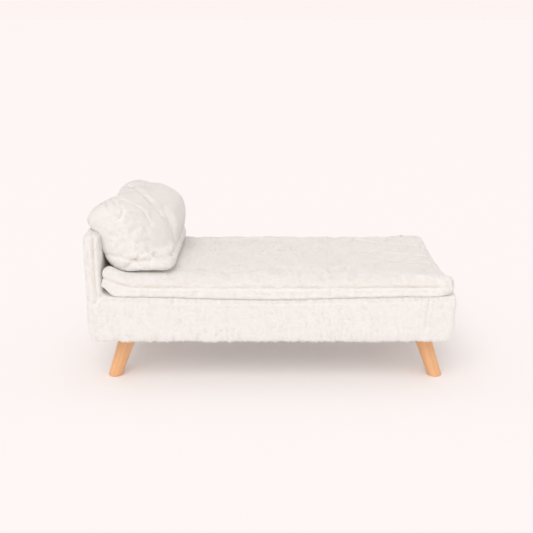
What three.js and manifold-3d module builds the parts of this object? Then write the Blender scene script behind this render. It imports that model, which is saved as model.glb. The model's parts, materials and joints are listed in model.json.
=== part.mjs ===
// Raised pet sofa: a fur-covered box base with a headboard at one end, four splayed wooden
// legs, a loose zipped mattress, and a soft pillow that leans over the headboard.
// Millimetres, +Z up. X runs along the bed with the headboard at -X, and Y runs from the
// front to the rear. The origin is on the floor under the middle of the bed.

import * as THREE from 'three';
import { mergeVertices } from 'three/addons/utils/BufferGeometryUtils.js';
import Module from 'manifold-3d';

const wasm = await Module();
wasm.setup();

// ---------- driving dimensions ----------

const GAP = 0.3; // clearance kept between pieces that touch

const LENGTH = 860; // fur to fur, along X
const DEPTH = 430; // fur to fur, along Y
const BASE_BOTTOM = 113;
const BASE_TOP = 225;
const HEADBOARD_TOP = 371;
const HEADBOARD_THICK = 37;

const FUR = 6; // backing and pressed pile together
const COVER_EDGE = 10; // rounding of the cover's front and rear edges
const COVER_CORNER = 16; // rounding of its other edges
const HEM = 24; // fur turned in under the frame, measured from its inside

const SIDE_FOAM = 9.7;
const HEADBOARD_FOAM = 4.7;
const PANEL_INSET = 5.7; // headboard panel inside the cover's front and rear faces
const RAIL_THICK = 18;
const RAIL_HEIGHT = 71.7;
const DECK_PLY = 12;
const LEG_BOARD_WIDTH = 90;
const DUST_CLOTH = 1;

const FOOT_LEFT_X = -384; // centres of the feet on the floor
const FOOT_RIGHT_X = 402;
const FOOT_Y = 144;
const LEAN_X = 0.35; // sideways run of a leg per unit of height
const LEAN_Y = 0.15;
const FOOT_RADIUS = 17.3;
const LEG_TOP_RADIUS = 22.2;
const FOOT_EASE = 1.5;
const LEG_SIDES = 40;

const PLATE_SIZE = 70;
const PLATE_THICK = 3;
const STUD_RADIUS = 4;
const STUD_BOTTOM = 86;
const STUD_TOP = 134;

const SCREW_PITCH = 52; // between the screws of one plate
const SCREW_HEAD_RADIUS = 4;
const SCREW_HEAD_HEIGHT = 2.4;
const SCREW_RIM = 0.3;
const SCREW_RECESS = 0.1; // head below the face it is sunk in
const SCREW_SHANK_RADIUS = 1.75;
const SCREW_LENGTH = 18;
const SCREW_TIP = 4;

const CONFIRMAT_Y = 130; // headboard screws, either side of the middle
const CONFIRMAT_Z = 162;
const CONFIRMAT_LENGTH = 30;
const CONFIRMAT_HEAD_RADIUS = 5;
const CONFIRMAT_HEAD_HEIGHT = 5;
const CONFIRMAT_SHANK_RADIUS = 3;

const MATTRESS_HEIGHT = 42.7;
const MATTRESS_END_GAP = 1.5; // between headboard and mattress
const MATTRESS_RIGHT = 417;
const MATTRESS_FRONT = -213;
const MATTRESS_REAR = 207;
const MATTRESS_CORNER = 24; // plan corners
const MATTRESS_EDGE = 9; // rounded top and bottom edges
const MATTRESS_CLOTH = 5;
const BORDER_LOW = 11; // seams of the border, above the mattress's underside
const BORDER_HIGH = 31.7;

const ZIP_LENGTH = 560;
const ZIP_WIDTH = 12;
const ZIP_COIL_WIDTH = 3;
const ZIP_COIL_RISE = 0.9; // above the tape
const TAPE_THICK = 2.5;
const TAPE_SET_BACK = 1.5; // tape face behind the border's face
const SLIDER_LENGTH = 14;
const SLIDER_WIDTH = 9;
const SLIDER_THICK = 3.8;
const SLIDER_END = 16; // from the middle of the closed slider to the end of the tape
const BRIDGE_LENGTH = 7;
const BRIDGE_WIDTH = 3.6;
const BRIDGE_RISE = 3.4;
const BRIDGE_THICK = 1.1;
const PULL_LENGTH = 26; // from its pivot
const PULL_WIDTH = 8;
const PULL_THICK = 1.2;
const PULL_PIN_RADIUS = 0.8;
const PULL_ARM_WIDTH = 1.7;
const PULL_ARM_LENGTH = 6;

const PILLOW_FRONT = -175;
const PILLOW_REAR = 185;
const PILLOW_EDGE = 12;
const PILLOW_CLOTH = 5;
const PILLOW_SLIT_LEFT = -340; // envelope opening in the rear end of the pillow cover
const PILLOW_SLIT_LENGTH = 70;
const PILLOW_SLIT_WIDTH = 4;
const PILLOW_SLIT_RISE = 50;

// ---------- places worked out from them ----------

const HALF_LENGTH = LENGTH / 2;
const HALF_DEPTH = DEPTH / 2;
const HEADBOARD_FACE = -HALF_LENGTH + HEADBOARD_THICK;

// Inside of the fur cover.
const IN_X = HALF_LENGTH - FUR;
const IN_Y = HALF_DEPTH - FUR;
const IN_BOTTOM = BASE_BOTTOM + FUR;
const IN_TOP = BASE_TOP - FUR;
const IN_HEAD_TOP = HEADBOARD_TOP - FUR;
const IN_HEAD_FACE = HEADBOARD_FACE - FUR;

// Frame boards.
const FRAME_Y = IN_Y - GAP - SIDE_FOAM - GAP;
const FRAME_RIGHT = IN_X - GAP - SIDE_FOAM - GAP;
const PANEL_LEFT = -IN_X + GAP + HEADBOARD_FOAM + GAP;
const PANEL_RIGHT = IN_HEAD_FACE - GAP - HEADBOARD_FOAM - GAP;
const PANEL_Y = IN_Y - PANEL_INSET;
const PANEL_TOP = IN_HEAD_TOP - GAP - HEADBOARD_FOAM - GAP;
const FRAME_LEFT = PANEL_RIGHT + GAP;
const RAIL_LOW = IN_BOTTOM + GAP;
const RAIL_HIGH = RAIL_LOW + RAIL_HEIGHT;
const INNER_Y = FRAME_Y - RAIL_THICK - GAP;
const LEFT_INNER_X = FRAME_LEFT + RAIL_THICK + GAP;
const RIGHT_INNER_X = FRAME_RIGHT - RAIL_THICK - GAP;
const DECK_LOW = RAIL_HIGH + GAP;
const DECK_HIGH = DECK_LOW + DECK_PLY;
const LEG_BOARD_HIGH = RAIL_LOW + RAIL_THICK;

// Leg plates lie flat under the leg boards, and the legs stop under the plates.
const PLATE_HIGH = RAIL_LOW - GAP;
const PLATE_LOW = PLATE_HIGH - PLATE_THICK;
const LEG_TOP = PLATE_LOW - GAP;

// Mattress and zip.
const MATTRESS_LOW = BASE_TOP + GAP;
const MATTRESS_HIGH = MATTRESS_LOW + MATTRESS_HEIGHT;
const MATTRESS_LEFT = HEADBOARD_FACE + MATTRESS_END_GAP;
const ZIP_MIDDLE_Z = MATTRESS_LOW + (BORDER_LOW + BORDER_HIGH) / 2;
const TAPE_FACE = MATTRESS_REAR - TAPE_SET_BACK;
const TAPE_BACK = TAPE_FACE - TAPE_THICK;
const COIL_FACE = TAPE_FACE + ZIP_COIL_RISE;
const SLIDER_X = ZIP_LENGTH / 2 - SLIDER_END;
const SLIDER_BACK = TAPE_FACE + GAP;
const SLIDER_FACE = SLIDER_BACK + SLIDER_THICK;
const PULL_PIVOT_Y = SLIDER_FACE + PULL_PIN_RADIUS + 0.5;

// ---------- materials ----------

function finish(colour, roughness, metalness) {
  return new THREE.MeshStandardMaterial({ color: colour, roughness, metalness });
}

const MATERIALS = {
  fur: () => finish(0xf5f0eb, 0.95, 0),
  leg: () => finish(0xe9b180, 0.45, 0),
  pine: () => finish(0xd9b98a, 0.7, 0),
  plywood: () => finish(0xc9a877, 0.7, 0),
  foam: () => finish(0xf1e7c8, 0.95, 0),
  filling: () => finish(0xfaf9f6, 1, 0),
  dustCloth: () => finish(0xded9d2, 0.95, 0),
  steel: () => finish(0xb9bbbd, 0.35, 1),
  zipTape: () => finish(0xe9e3dc, 0.85, 0),
  zipMetal: () => finish(0xa9a7a2, 0.3, 1),
};

// ---------- solids ----------

const bed = new THREE.Group();

function add(name, geometry, material) {
  const mesh = new THREE.Mesh(geometry, MATERIALS[material]());
  mesh.name = name;
  bed.add(mesh);
}

function toSolid(geometry) {
  const bare = geometry.clone();
  bare.deleteAttribute('normal');
  bare.deleteAttribute('uv');
  const merged = mergeVertices(bare, 1e-4);
  return new wasm.Manifold(new wasm.Mesh({
    numProp: 3,
    vertProperties: new Float32Array(merged.attributes.position.array),
    triVerts: new Uint32Array(merged.index.array),
  }));
}

function toGeometry(solid) {
  const mesh = solid.getMesh();
  const geometry = new THREE.BufferGeometry();
  geometry.setAttribute('position', new THREE.BufferAttribute(mesh.vertProperties, 3));
  geometry.setIndex(new THREE.BufferAttribute(mesh.triVerts, 1));
  geometry.computeVertexNormals();
  return geometry;
}

function cut(geometry, cutters) {
  let solid = toSolid(geometry);
  for (const cutter of cutters) {
    solid = solid.subtract(toSolid(cutter));
  }
  return toGeometry(solid);
}

function join(geometries) {
  let solid = toSolid(geometries[0]);
  for (const geometry of geometries.slice(1)) {
    solid = solid.add(toSolid(geometry));
  }
  return toGeometry(solid);
}

// A box between two corners, each given as [x, y, z].
function block(low, high) {
  const size = high.map((value, axis) => value - low[axis]);
  const box = new THREE.BoxGeometry(...size);
  box.translate(...low.map((value, axis) => value + size[axis] / 2));
  return box;
}

// A closed outline with rounded corners, each corner given as [x, y, radius].
function roundedOutline(corners) {
  const shape = new THREE.Shape();
  corners.forEach(([x, y, radius], index) => {
    const corner = new THREE.Vector2(x, y);
    const before = new THREE.Vector2(...corners.at(index - 1));
    const after = new THREE.Vector2(...corners[(index + 1) % corners.length]);
    const start = before.sub(corner).setLength(radius).add(corner);
    const end = after.sub(corner).setLength(radius).add(corner);
    if (index === 0) {
      shape.moveTo(start.x, start.y);
    } else {
      shape.lineTo(start.x, start.y);
    }
    shape.quadraticCurveTo(x, y, end.x, end.y);
  });
  shape.closePath();
  return shape;
}

// An outline pulled up into a solid with rounded edges, shrunk by inset all over.
function softExtrude(shape, height, edge, inset = 0) {
  const solid = new THREE.ExtrudeGeometry(shape, {
    depth: height - 2 * edge - 2 * inset,
    bevelThickness: edge,
    bevelSize: edge,
    bevelOffset: -edge - inset,
    bevelSegments: 4,
    curveSegments: 5,
  });
  return solid.translate(0, 0, edge + inset);
}

// The same for an outline drawn in X and Z, pulled from front to rear along Y.
function softExtrudeAlongY(shape, front, rear, edge, inset = 0) {
  const solid = softExtrude(shape, rear - front, edge, inset);
  return solid.rotateX(Math.PI / 2).translate(0, rear, 0);
}

// A turned solid standing on Z, its profile given as [radius, z] from axis to axis.
function turned(profile, sides) {
  const points = profile.map(([radius, z]) => new THREE.Vector2(radius, z));
  return new THREE.LatheGeometry(points, sides).rotateX(Math.PI / 2);
}

// ---------- frame ----------

const LEGS = [
  { place: 'front_left', footX: FOOT_LEFT_X, footY: -FOOT_Y, leanX: LEAN_X, leanY: LEAN_Y },
  { place: 'front_right', footX: FOOT_RIGHT_X, footY: -FOOT_Y, leanX: -LEAN_X, leanY: LEAN_Y },
  { place: 'rear_left', footX: FOOT_LEFT_X, footY: FOOT_Y, leanX: LEAN_X, leanY: -LEAN_Y },
  { place: 'rear_right', footX: FOOT_RIGHT_X, footY: FOOT_Y, leanX: -LEAN_X, leanY: -LEAN_Y },
];

// Leans an upright solid that stands over the origin, so that it follows a leg's axis.
function leanWithLeg(geometry, leg) {
  const shear = new THREE.Matrix4().set(
    1, 0, leg.leanX, leg.footX,
    0, 1, leg.leanY, leg.footY,
    0, 0, 1, 0,
    0, 0, 0, 1,
  );
  return geometry.applyMatrix4(shear);
}

// Where a leg's axis passes through its plate.
function plateCentre(leg) {
  return [leg.footX + leg.leanX * PLATE_HIGH, leg.footY + leg.leanY * PLATE_HIGH];
}

function studAxis(leg, clearance) {
  const radius = STUD_RADIUS + clearance;
  const bottom = STUD_BOTTOM - clearance;
  const top = STUD_TOP + clearance;
  const profile = [[0, bottom], [radius, bottom], [radius, top], [0, top]];
  return leanWithLeg(turned(profile, 16), leg);
}

// A countersunk wood screw, point up, with its head flush under the leg plate. With a
// clearance it is the hole for that screw, and starts below the plate.
function plateScrew(x, y, clearance) {
  const head = PLATE_LOW + SCREW_RECESS;
  const point = PLATE_LOW + SCREW_LENGTH + clearance;
  const screw = turned([
    [0, clearance > 0 ? PLATE_LOW - 1 : head],
    [SCREW_HEAD_RADIUS + clearance, clearance > 0 ? PLATE_LOW - 1 : head],
    [SCREW_HEAD_RADIUS + clearance, head + SCREW_RIM],
    [SCREW_SHANK_RADIUS + clearance, head + SCREW_HEAD_HEIGHT],
    [SCREW_SHANK_RADIUS + clearance, point - SCREW_TIP],
    [0, point],
  ], 12);
  return screw.translate(x, y, 0);
}

function screwPlaces(leg) {
  const [x, y] = plateCentre(leg);
  const half = SCREW_PITCH / 2;
  return [[-half, -half], [half, -half], [-half, half], [half, half]].map(([dx, dy]) => [x + dx, y + dy]);
}

// A confirmat screw through the headboard panel into the left rail, along +X. With a
// clearance it is the hole for that screw, and starts outside the panel.
function headboardScrew(y, clearance) {
  const low = clearance > 0 ? -1 : SCREW_RECESS;
  const shank = CONFIRMAT_SHANK_RADIUS + clearance;
  const screw = turned([
    [0, low],
    [CONFIRMAT_HEAD_RADIUS + clearance, low],
    [CONFIRMAT_HEAD_RADIUS + clearance, CONFIRMAT_HEAD_HEIGHT - 2],
    [shank, CONFIRMAT_HEAD_HEIGHT],
    [shank, CONFIRMAT_LENGTH + clearance],
    [0, CONFIRMAT_LENGTH + clearance],
  ], 14);
  return screw.rotateY(Math.PI / 2).translate(PANEL_LEFT, y, CONFIRMAT_Z);
}

function addFrame() {
  const headCutters = [-CONFIRMAT_Y, CONFIRMAT_Y].map((y) => headboardScrew(y, GAP));
  const rail = (xs, ys) => block([xs[0], ys[0], RAIL_LOW], [xs[1], ys[1], RAIL_HIGH]);
  add('front_rail', rail([FRAME_LEFT, FRAME_RIGHT], [-FRAME_Y, -FRAME_Y + RAIL_THICK]), 'pine');
  add('rear_rail', rail([FRAME_LEFT, FRAME_RIGHT], [FRAME_Y - RAIL_THICK, FRAME_Y]), 'pine');
  const leftRail = rail([FRAME_LEFT, FRAME_LEFT + RAIL_THICK], [-INNER_Y, INNER_Y]);
  add('left_rail', cut(leftRail, headCutters), 'pine');
  add('right_rail', rail([FRAME_RIGHT - RAIL_THICK, FRAME_RIGHT], [-INNER_Y, INNER_Y]), 'pine');
  const middle = (FRAME_LEFT + FRAME_RIGHT) / 2;
  add('centre_rail', rail([middle - RAIL_THICK / 2, middle + RAIL_THICK / 2], [-INNER_Y, INNER_Y]), 'pine');
  add('deck_panel', block([FRAME_LEFT, -FRAME_Y, DECK_LOW], [FRAME_RIGHT, FRAME_Y, DECK_HIGH]), 'plywood');

  const panel = block([PANEL_LEFT, -PANEL_Y, RAIL_LOW], [PANEL_RIGHT, PANEL_Y, PANEL_TOP]);
  add('headboard_panel', cut(panel, headCutters), 'plywood');
  add('headboard_screw_front', headboardScrew(-CONFIRMAT_Y, 0), 'steel');
  add('headboard_screw_rear', headboardScrew(CONFIRMAT_Y, 0), 'steel');
}

function addLegBoard(name, left, right, legs) {
  const board = block([left, -INNER_Y, RAIL_LOW], [right, INNER_Y, LEG_BOARD_HIGH]);
  const cutters = legs.flatMap((leg) => [
    studAxis(leg, GAP),
    ...screwPlaces(leg).map(([x, y]) => plateScrew(x, y, GAP)),
  ]);
  add(name, cut(board, cutters), 'pine');
}

function addLeg(leg) {
  const body = leanWithLeg(turned([
    [0, 0],
    [FOOT_RADIUS - FOOT_EASE, 0],
    [FOOT_RADIUS, FOOT_EASE],
    [LEG_TOP_RADIUS, LEG_TOP],
    [0, LEG_TOP],
  ], LEG_SIDES), leg);
  add(`leg_${leg.place}`, cut(body, [studAxis(leg, GAP)]), 'leg');
  add(`leg_stud_${leg.place}`, studAxis(leg, 0), 'steel');

  const [x, y] = plateCentre(leg);
  const half = PLATE_SIZE / 2;
  const plate = block([x - half, y - half, PLATE_LOW], [x + half, y + half, PLATE_HIGH]);
  const places = screwPlaces(leg);
  const cutters = [studAxis(leg, GAP), ...places.map(([sx, sy]) => plateScrew(sx, sy, GAP))];
  add(`leg_plate_${leg.place}`, cut(plate, cutters), 'steel');
  places.forEach(([sx, sy], index) => {
    add(`plate_screw_${leg.place}_${index + 1}`, plateScrew(sx, sy, 0), 'steel');
  });
}

// ---------- padding and cover of the base ----------

function addPadding() {
  const addFoam = (name, low, high) => add(name, block(low, high), 'foam');
  const outer = IN_Y - GAP;
  const deckTop = IN_TOP - GAP;
  const rightFace = IN_X - GAP;
  addFoam('front_foam', [FRAME_LEFT, -outer, RAIL_LOW], [FRAME_RIGHT, -outer + SIDE_FOAM, deckTop]);
  addFoam('rear_foam', [FRAME_LEFT, outer - SIDE_FOAM, RAIL_LOW], [FRAME_RIGHT, outer, deckTop]);
  addFoam('right_foam', [rightFace - SIDE_FOAM, -outer, RAIL_LOW], [rightFace, outer, deckTop]);
  addFoam('deck_foam', [FRAME_LEFT, -FRAME_Y, DECK_HIGH + GAP], [FRAME_RIGHT, FRAME_Y, deckTop]);

  const headTop = IN_HEAD_TOP - GAP;
  const leftFace = GAP - IN_X;
  const innerFace = IN_HEAD_FACE - GAP;
  addFoam('headboard_foam_outer', [leftFace, -outer, RAIL_LOW], [leftFace + HEADBOARD_FOAM, outer, headTop]);
  addFoam('headboard_foam_inner', [innerFace - HEADBOARD_FOAM, -outer, IN_TOP], [innerFace, outer, headTop]);
  addFoam('headboard_foam_top', [PANEL_LEFT, -outer, headTop - HEADBOARD_FOAM], [PANEL_RIGHT, outer, headTop]);
}

// One L-shaped fur cover over base and headboard, open underneath inside its hem.
function addBaseCover() {
  const outline = roundedOutline([
    [-HALF_LENGTH, BASE_BOTTOM, COVER_CORNER],
    [HALF_LENGTH, BASE_BOTTOM, COVER_CORNER],
    [HALF_LENGTH, BASE_TOP, COVER_CORNER],
    [HEADBOARD_FACE, BASE_TOP, 3],
    [HEADBOARD_FACE, HEADBOARD_TOP, COVER_CORNER],
    [-HALF_LENGTH, HEADBOARD_TOP, COVER_CORNER],
  ]);
  const outside = softExtrudeAlongY(outline, -HALF_DEPTH, HALF_DEPTH, COVER_EDGE);
  const inside = [
    block([-IN_X, -IN_Y, IN_BOTTOM], [IN_X, IN_Y, IN_TOP]),
    block([-IN_X, -IN_Y, IN_BOTTOM], [IN_HEAD_FACE, IN_Y, IN_HEAD_TOP]),
    block([HEM - IN_X, HEM - IN_Y, BASE_BOTTOM - 1], [IN_X - HEM, IN_Y - HEM, IN_BOTTOM + 1]),
  ];
  add('base_cover', cut(outside, inside), 'fur');
}

// Thin cloth under the frame, inside the hem, cut out around the leg plates.
function addDustCover() {
  const x = IN_X - HEM - GAP;
  const y = IN_Y - HEM - GAP;
  const top = RAIL_LOW - GAP;
  const half = PLATE_SIZE / 2 + GAP;
  const cloth = block([-x, -y, top - DUST_CLOTH], [x, y, top]);
  const cutouts = LEGS.map((leg) => {
    const [cx, cy] = plateCentre(leg);
    return block([cx - half, cy - half, top - 5], [cx + half, cy + half, top + 5]);
  });
  add('dust_cover', cut(cloth, cutouts), 'dustCloth');
}

// ---------- mattress ----------

function mattressBody(inset) {
  const outline = roundedOutline([
    [MATTRESS_LEFT, MATTRESS_FRONT, MATTRESS_CORNER],
    [MATTRESS_RIGHT, MATTRESS_FRONT, MATTRESS_CORNER],
    [MATTRESS_RIGHT, MATTRESS_REAR, MATTRESS_CORNER],
    [MATTRESS_LEFT, MATTRESS_REAR, MATTRESS_CORNER],
  ]);
  return softExtrude(outline, MATTRESS_HEIGHT, MATTRESS_EDGE, inset).translate(0, 0, MATTRESS_LOW);
}

// A slab wider than the mattress, for taking one layer of its cover.
function layer(low, high) {
  return block([-LENGTH, -DEPTH, low], [LENGTH, DEPTH, high]);
}

function zipSlot(clearance) {
  const halfLength = ZIP_LENGTH / 2 + clearance;
  const halfWidth = ZIP_WIDTH / 2 + clearance;
  return block(
    [-halfLength, TAPE_BACK - 3, ZIP_MIDDLE_Z - halfWidth],
    [halfLength, MATTRESS_REAR + 3, ZIP_MIDDLE_Z + halfWidth],
  );
}

function addMattress() {
  const shell = toSolid(mattressBody(0)).subtract(toSolid(mattressBody(MATTRESS_CLOTH)));
  const low = MATTRESS_LOW + BORDER_LOW;
  const high = MATTRESS_LOW + BORDER_HIGH;
  const part = (bottom, top) => shell.intersect(toSolid(layer(bottom, top)));
  add('mattress_cover_bottom', toGeometry(part(MATTRESS_LOW - 10, low - GAP)), 'fur');
  add('mattress_border', toGeometry(part(low, high).subtract(toSolid(zipSlot(GAP)))), 'fur');
  add('mattress_cover_top', toGeometry(part(high + GAP, MATTRESS_HIGH + 10)), 'fur');
  add('mattress_core', mattressBody(MATTRESS_CLOTH + GAP), 'foam');
}

// Zip in the rear border: tape with its coil, a slider over the coil, and a hinged pull.
function addZip() {
  const halfLength = ZIP_LENGTH / 2;
  const coilHalf = ZIP_COIL_WIDTH / 2;
  const tape = block(
    [-halfLength, TAPE_BACK, ZIP_MIDDLE_Z - ZIP_WIDTH / 2],
    [halfLength, TAPE_FACE, ZIP_MIDDLE_Z + ZIP_WIDTH / 2],
  );
  const coil = block(
    [-halfLength, TAPE_BACK + 1, ZIP_MIDDLE_Z - coilHalf],
    [halfLength, COIL_FACE, ZIP_MIDDLE_Z + coilHalf],
  );
  add('mattress_zip_tape', join([tape, coil]), 'zipTape');

  // A block on the slider, from its lengthwise span, its depth span and its full width.
  const onSlider = ([left, right], [back, face], width) => block(
    [SLIDER_X + left, back, ZIP_MIDDLE_Z - width / 2],
    [SLIDER_X + right, face, ZIP_MIDDLE_Z + width / 2],
  );
  const halfSlider = SLIDER_LENGTH / 2;
  const halfBridge = BRIDGE_LENGTH / 2;
  const bridgeFace = SLIDER_FACE + BRIDGE_RISE;
  const post = [SLIDER_FACE - 0.5, bridgeFace];
  const slider = join([
    onSlider([-halfSlider, halfSlider], [SLIDER_BACK, SLIDER_FACE], SLIDER_WIDTH),
    onSlider([-halfBridge, -halfBridge + BRIDGE_THICK], post, BRIDGE_WIDTH),
    onSlider([halfBridge - BRIDGE_THICK, halfBridge], post, BRIDGE_WIDTH),
    onSlider([-halfBridge, halfBridge], [bridgeFace - BRIDGE_THICK, bridgeFace], BRIDGE_WIDTH),
  ]);
  const channel = onSlider(
    [-SLIDER_LENGTH, SLIDER_LENGTH],
    [SLIDER_BACK - 1, COIL_FACE + GAP],
    ZIP_COIL_WIDTH + 2 * GAP,
  );
  add('zip_slider', cut(slider, [channel]), 'zipMetal');

  const halfPin = PULL_WIDTH / 2 - 0.1;
  const pinRadius = PULL_PIN_RADIUS;
  const pin = turned([[0, -halfPin], [pinRadius, -halfPin], [pinRadius, halfPin], [0, halfPin]], 12);
  pin.translate(SLIDER_X, PULL_PIVOT_Y, ZIP_MIDDLE_Z);
  const halfThick = PULL_THICK / 2;
  const arm = (low) => block(
    [SLIDER_X - halfThick, PULL_PIVOT_Y - halfThick, ZIP_MIDDLE_Z + low],
    [SLIDER_X + PULL_ARM_LENGTH, PULL_PIVOT_Y + halfThick, ZIP_MIDDLE_Z + low + PULL_ARM_WIDTH],
  );
  const tab = block(
    [SLIDER_X + PULL_ARM_LENGTH - 1, PULL_PIVOT_Y - halfThick, ZIP_MIDDLE_Z - PULL_WIDTH / 2],
    [SLIDER_X + PULL_LENGTH, PULL_PIVOT_Y + halfThick, ZIP_MIDDLE_Z + PULL_WIDTH / 2],
  );
  const arms = [arm(-PULL_WIDTH / 2), arm(PULL_WIDTH / 2 - PULL_ARM_WIDTH)];
  add('zip_pull', join([pin, ...arms, tab]), 'zipMetal');
}

// ---------- pillow ----------

// Its section leans from the mattress over the headboard, with a notch where it rests on it.
const PILLOW_LOW = MATTRESS_HIGH + GAP;
const PILLOW_REST = HEADBOARD_TOP + GAP;
const PILLOW_OUTLINE = roundedOutline([
  [-382, PILLOW_LOW, 26],
  [-224, PILLOW_LOW, 30],
  [-232, 345, 40],
  [-272, 430, 44],
  [-427, 441, 40],
  [-427, PILLOW_REST, 26],
  [HEADBOARD_FACE + 1, PILLOW_REST, 3],
  [HEADBOARD_FACE + 1, 315, 18],
]);

function pillowBody(inset) {
  return softExtrudeAlongY(PILLOW_OUTLINE, PILLOW_FRONT, PILLOW_REAR, PILLOW_EDGE, inset);
}

function addPillow() {
  const slitLow = PILLOW_LOW + PILLOW_SLIT_RISE;
  const slit = block(
    [PILLOW_SLIT_LEFT, PILLOW_REAR - PILLOW_EDGE - PILLOW_CLOTH - 1, slitLow],
    [PILLOW_SLIT_LEFT + PILLOW_SLIT_LENGTH, PILLOW_REAR + 1, slitLow + PILLOW_SLIT_WIDTH],
  );
  add('pillow_cover', cut(pillowBody(0), [pillowBody(PILLOW_CLOTH), slit]), 'fur');
  add('pillow_filling', pillowBody(PILLOW_CLOTH + GAP), 'filling');
}

// ---------- the bed ----------

addFrame();
const leftLegs = LEGS.filter((leg) => leg.footX < 0);
const rightLegs = LEGS.filter((leg) => leg.footX > 0);
addLegBoard('leg_board_left', LEFT_INNER_X, LEFT_INNER_X + LEG_BOARD_WIDTH, leftLegs);
addLegBoard('leg_board_right', RIGHT_INNER_X - LEG_BOARD_WIDTH, RIGHT_INNER_X, rightLegs);
LEGS.forEach(addLeg);
addPadding();
addBaseCover();
addDustCover();
addMattress();
addZip();
addPillow();

export default bed;
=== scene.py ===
"""Looks of the raised pet sofa: plush fur over base, mattress and pillow, turned beech legs."""

import json
import math
from itertools import product

import bpy
import numpy as np
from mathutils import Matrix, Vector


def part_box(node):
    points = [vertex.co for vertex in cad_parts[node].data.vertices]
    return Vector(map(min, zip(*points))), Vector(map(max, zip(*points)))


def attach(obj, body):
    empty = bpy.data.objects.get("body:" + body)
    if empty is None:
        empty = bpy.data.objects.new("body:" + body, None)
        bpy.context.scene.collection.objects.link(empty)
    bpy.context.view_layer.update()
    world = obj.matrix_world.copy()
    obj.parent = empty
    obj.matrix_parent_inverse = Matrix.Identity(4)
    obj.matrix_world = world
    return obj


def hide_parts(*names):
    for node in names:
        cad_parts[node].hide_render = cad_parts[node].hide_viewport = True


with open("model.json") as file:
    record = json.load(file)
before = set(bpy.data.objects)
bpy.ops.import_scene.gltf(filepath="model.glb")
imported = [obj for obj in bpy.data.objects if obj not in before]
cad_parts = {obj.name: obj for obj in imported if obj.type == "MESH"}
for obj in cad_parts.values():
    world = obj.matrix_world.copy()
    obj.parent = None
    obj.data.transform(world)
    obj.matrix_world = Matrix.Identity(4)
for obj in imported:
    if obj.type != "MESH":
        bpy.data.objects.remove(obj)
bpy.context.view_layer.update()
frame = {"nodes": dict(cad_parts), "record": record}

MM = 0.001

# ---------- places, from the frame ----------

REST_GAP = 0.3 * MM  # the frame's clearance between pieces that rest on each other
END_GAP = 1.5 * MM  # between the headboard and the mattress

COVER_LOW, COVER_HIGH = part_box("base_cover")
MATTRESS_LOW, MATTRESS_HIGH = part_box("mattress_border")
MATTRESS_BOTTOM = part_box("mattress_cover_bottom")[0].z
MATTRESS_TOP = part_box("mattress_cover_top")[1].z
PILLOW_LOW, PILLOW_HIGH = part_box("pillow_cover")
DECK_Z = MATTRESS_BOTTOM - REST_GAP
HEADBOARD_FACE = MATTRESS_LOW.x - END_GAP
HEM_LOW, HEM_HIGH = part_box("dust_cover")

# ---------- camera, light and floor ----------

LENS = 58.76
SENSOR_WIDTH = 36
CAMERA_X = -0.012
CAMERA_DISTANCE = 1.906  # ahead of the front of the base
CAMERA_HEIGHT = 0.868
CAMERA_TILT = 16.65  # degrees downwards
SKY_COLOUR = (1, 0.945, 0.935)
SKY_STRENGTH = 0.75
BACKDROP_COLOUR = (0.989, 0.90, 0.883)  # what the camera sees past the floor
KEY_COLOUR = (1, 0.95, 0.93)
KEY_STRENGTH = 1.12
KEY_SOFTNESS = 40  # degrees across
KEY_ELEVATION = 46  # degrees
KEY_AZIMUTH = -14
PRINT_GAMMA = 1.12  # lifts the shadows, as a bright studio print does
FLOOR_COLOUR = (0.985, 0.965, 0.96)
FLOOR_REACH = 60

# ---------- pile and cloth ----------

PILLOW_VOXEL = 5 * MM
MATTRESS_VOXEL = 6 * MM
BASE_VOXEL = 7 * MM
PILE = 2 * MM  # how far the pile stands above the backing
STRANDS_PER_M2 = 375_000
STRAND_LENGTH = 8 * MM
STRAND_WIDTH = 0.9 * MM
ROOT_DEPTH = 0.8 * MM  # how far below the backing each strand starts
TUFT = 14 * MM
TIGHT_WIDTH = 7 * MM  # a seam or fold wider than this gets no painted shade
TIGHT_DEPTH = 4 * MM  # one as deep as this gets the full painted shade
FRONT_SINK = 8 * MM  # of the base's front edge, and of the mattress with it
SWELL_PRESSURE = 4
SWELL_FRAMES = 20
FUR_TONES = [(0.87, 0.86, 0.83), (0.90, 0.89, 0.86), (0.925, 0.915, 0.885)]
BACKING_COLOUR = (0.89, 0.87, 0.835)
# painted shade: the warm dark tone laid into the fur's colour in tight seams and folds
CREASE_SHADE_COLOUR = (0.79, 0.72, 0.64)

# ---------- wood: light and dark bands, flecks ----------

BEECH_TONES = [(0.935, 0.51, 0.248), (0.875, 0.446, 0.197), (0.65, 0.28, 0.113)]
PINE_TONES = [(0.72, 0.52, 0.31), (0.60, 0.39, 0.20), (0.42, 0.24, 0.12)]
PLYWOOD_TONES = [(0.70, 0.53, 0.34), (0.62, 0.44, 0.26), (0.48, 0.31, 0.17)]
GRAIN_SHIFT = 0.17  # metres from one leg's piece of grain to the next one's


# ---------- studio ----------

def make_camera():
    """A view from the front, from just above the bed and looking down at it a little."""
    camera = bpy.data.objects.new("camera", bpy.data.cameras.new("camera"))
    bpy.context.scene.collection.objects.link(camera)
    camera.data.lens = LENS
    camera.data.sensor_width = SENSOR_WIDTH
    camera.location = (CAMERA_X, COVER_LOW.y - CAMERA_DISTANCE, CAMERA_HEIGHT)
    camera.rotation_euler = (math.radians(90 - CAMERA_TILT), 0, 0)
    bpy.context.scene.camera = camera


def make_key_light():
    """One soft distant light from the front. Its azimuth is positive towards +X."""
    light = bpy.data.lights.new("key", "SUN")
    light.energy = KEY_STRENGTH
    light.angle = math.radians(KEY_SOFTNESS)
    light.color = KEY_COLOUR
    sun = bpy.data.objects.new("key", light)
    bpy.context.scene.collection.objects.link(sun)
    sun.rotation_euler = (math.radians(90 - KEY_ELEVATION), 0, math.radians(KEY_AZIMUTH))


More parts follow.
